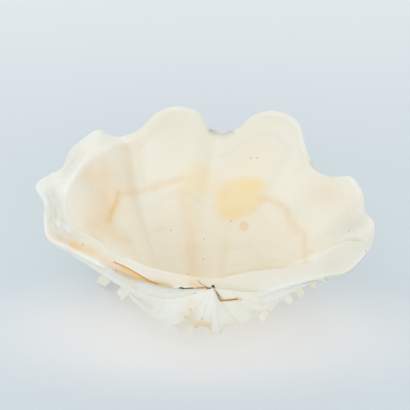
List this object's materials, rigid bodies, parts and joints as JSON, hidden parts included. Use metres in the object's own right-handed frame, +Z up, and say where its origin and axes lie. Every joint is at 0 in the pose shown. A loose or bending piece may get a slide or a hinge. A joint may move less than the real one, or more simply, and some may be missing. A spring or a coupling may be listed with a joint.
{
  "type": "giant clam shell",
  "caption": "Open half of a fluted clam shell: a deep scalloped bowl with a hinge plate, radial ribs and leaf-like scutes on the outside.",
  "frame": {"origin": "on the ground, under the middle of the bounding box", "axes": "+X along the hinge, away from the ligament; +Y from the hinge back to the scalloped margin; +Z up, out of the hollow"},
  "size_m": [0.339, 0.215, 0.1637],
  "materials": {
    "shell": "smooth porcelain inside with a low sheen, matt and ridged outside"
  },
  "bodies": {
    "root": {"valve": "shell"}
  },
  "joints": []
}
